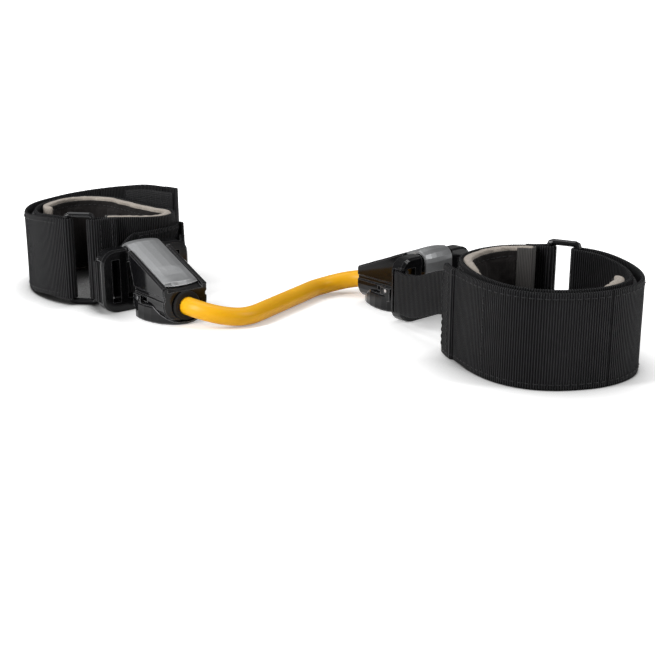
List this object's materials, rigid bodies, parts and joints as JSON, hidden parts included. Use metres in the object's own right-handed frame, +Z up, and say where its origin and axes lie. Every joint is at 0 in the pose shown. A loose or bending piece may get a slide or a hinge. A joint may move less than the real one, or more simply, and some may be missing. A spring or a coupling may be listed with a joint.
{
  "type": "lateral resistance trainer",
  "caption": "Padded ankle cuffs of wide webbing, each tied to a flat ring that a spring clip hooks over, joined by a short curved resistance tube.",
  "frame": {"origin": "centre of the footprint on the floor", "axes": "+X along the longest extent from the left cuff to the right cuff, +Y away from the viewer, +Z up"},
  "size_m": [0.3592, 0.2568, 0.0605],
  "materials": {
    "foam": "cut foam edge",
    "lining": "matt knit",
    "binding": "woven tape",
    "webbing": "ribbed webbing",
    "pile": "brushed loop",
    "hook": "stiff hook tape",
    "moulding": "satin",
    "gloss": "glossy",
    "silver": "polished",
    "steel": "bright",
    "rubber": "satin",
    "tube": "translucent gloss"
  },
  "bodies": {
    "cable": {"resistance_tube": "tube", "tube_plug_left": "rubber", "tube_plug_right": "rubber"},
    "clip_left": {"clip_housing_left": "gloss", "hook_plate_left": "silver", "tube_collar_left": "rubber", "slide_spring_left": "steel"},
    "release_left": {"release_slide_left": "gloss", "guide_pin_left_a": "steel", "guide_pin_left_b": "steel"},
    "cuff_left": {"anchor_ring_left": "moulding", "anchor_webbing_left": "webbing", "strap_left": "webbing", "pad_foam_left": "foam", "pad_lining_left": "lining", "pad_binding_left": "binding", "pile_patch_left": "pile", "slide_loop_left": "moulding"},
    "tail_left": {"strap_tail_left": "webbing", "hook_patch_left": "hook"},
    "clip_right": {"clip_housing_right": "gloss", "hook_plate_right": "silver", "tube_collar_right": "rubber", "slide_spring_right": "steel"},
    "release_right": {"release_slide_right": "gloss", "guide_pin_right_a": "steel", "guide_pin_right_b": "steel"},
    "cuff_right": {"anchor_ring_right": "moulding", "anchor_webbing_right": "webbing", "strap_right": "webbing", "pad_foam_right": "foam", "pad_lining_right": "lining", "pad_binding_right": "binding", "pile_patch_right": "pile", "slide_loop_right": "moulding"},
    "tail_right": {"strap_tail_right": "webbing", "hook_patch_right": "hook"}
  },
  "joints": [
    {"name": "clip_swivel_left", "type": "hinge", "parent": "cable", "child": "clip_left", "pos_m": [-0.0661, -0.01315, 0.011], "axis": [0.6157, -0.788, 0], "continuous": true},
    {"name": "ring_hinge_left", "type": "hinge", "parent": "clip_left", "child": "cuff_left", "pos_m": [-0.09627, 0.02546, 0.034], "axis": [0.788, 0.6157, 0], "range_deg": [-15, 90]},
    {"name": "release_push_left", "type": "slide", "parent": "clip_left", "child": "release_left", "axis": [0.6157, -0.788, 0], "range_m": [0, 0.007], "stiffness_N_per_m": 400, "springref_m": -0.004, "deforming": ["slide_spring_left"]},
    {"name": "tail_peel_left", "type": "hinge", "parent": "cuff_left", "child": "tail_left", "pos_m": [-0.12402, 0.12174, 0.025], "axis": [0, 0, 1], "range_deg": [0, 60]},
    {"name": "clip_swivel_right", "type": "hinge", "parent": "cable", "child": "clip_right", "pos_m": [0.04626, 0.04366, 0.011], "axis": [-0.6626, 0.749, 0], "continuous": true},
    {"name": "ring_hinge_right", "type": "hinge", "parent": "clip_right", "child": "cuff_right", "pos_m": [0.07873, 0.00696, 0.034], "axis": [-0.749, -0.6626, 0], "range_deg": [-15, 90]},
    {"name": "release_push_right", "type": "slide", "parent": "clip_right", "child": "release_right", "axis": [-0.6626, 0.749, 0], "range_m": [0, 0.007], "stiffness_N_per_m": 400, "springref_m": -0.004, "deforming": ["slide_spring_right"]},
    {"name": "tail_peel_right", "type": "hinge", "parent": "cuff_right", "child": "tail_right", "pos_m": [0.14268, -0.12686, 0.025], "axis": [0, 0, 1], "range_deg": [0, 60]}
  ]
}
